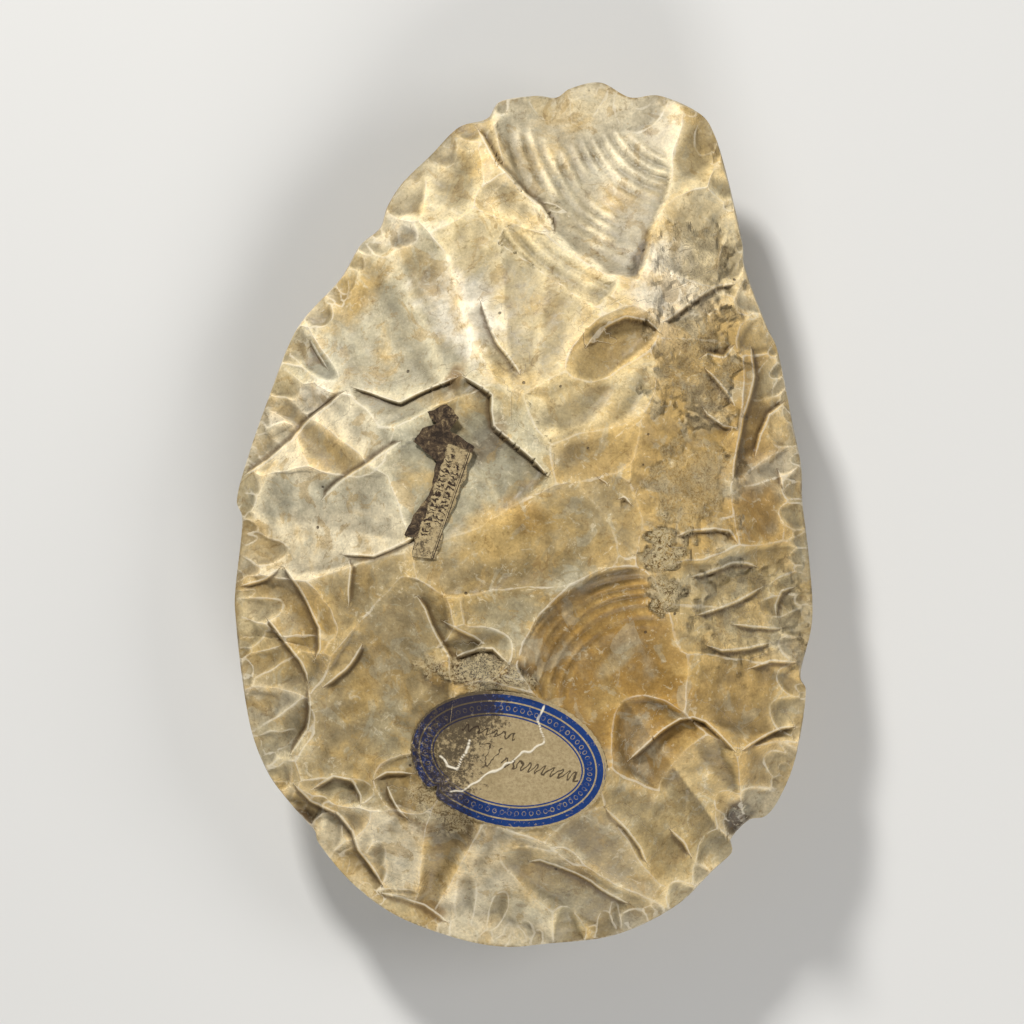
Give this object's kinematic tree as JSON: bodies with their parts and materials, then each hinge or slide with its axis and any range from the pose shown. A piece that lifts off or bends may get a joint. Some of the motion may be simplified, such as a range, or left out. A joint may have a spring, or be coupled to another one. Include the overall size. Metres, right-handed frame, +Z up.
{
  "type": "stone hand axe",
  "caption": "Flaked flint hand axe, a pointed oval with a sharp edge all round, lying on its back face, with an oval label and a torn printed strip glued to its front.",
  "frame": {"origin": "on the table under the middle of the plan's bounding box, at the lowest point of the back face", "axes": "+Y along the length towards the point, +X across it to the right as the labelled face is seen, +Z up out of the labelled face"},
  "size_m": [0.0978, 0.1464, 0.0399],
  "materials": {
    "flint": "satin patina",
    "oval_label_paper": "matte",
    "printed_label_paper": "matte"
  },
  "bodies": {
    "root": {"hand_axe": "flint", "oval_label": "oval_label_paper", "printed_label": "printed_label_paper"}
  },
  "joints": []
}
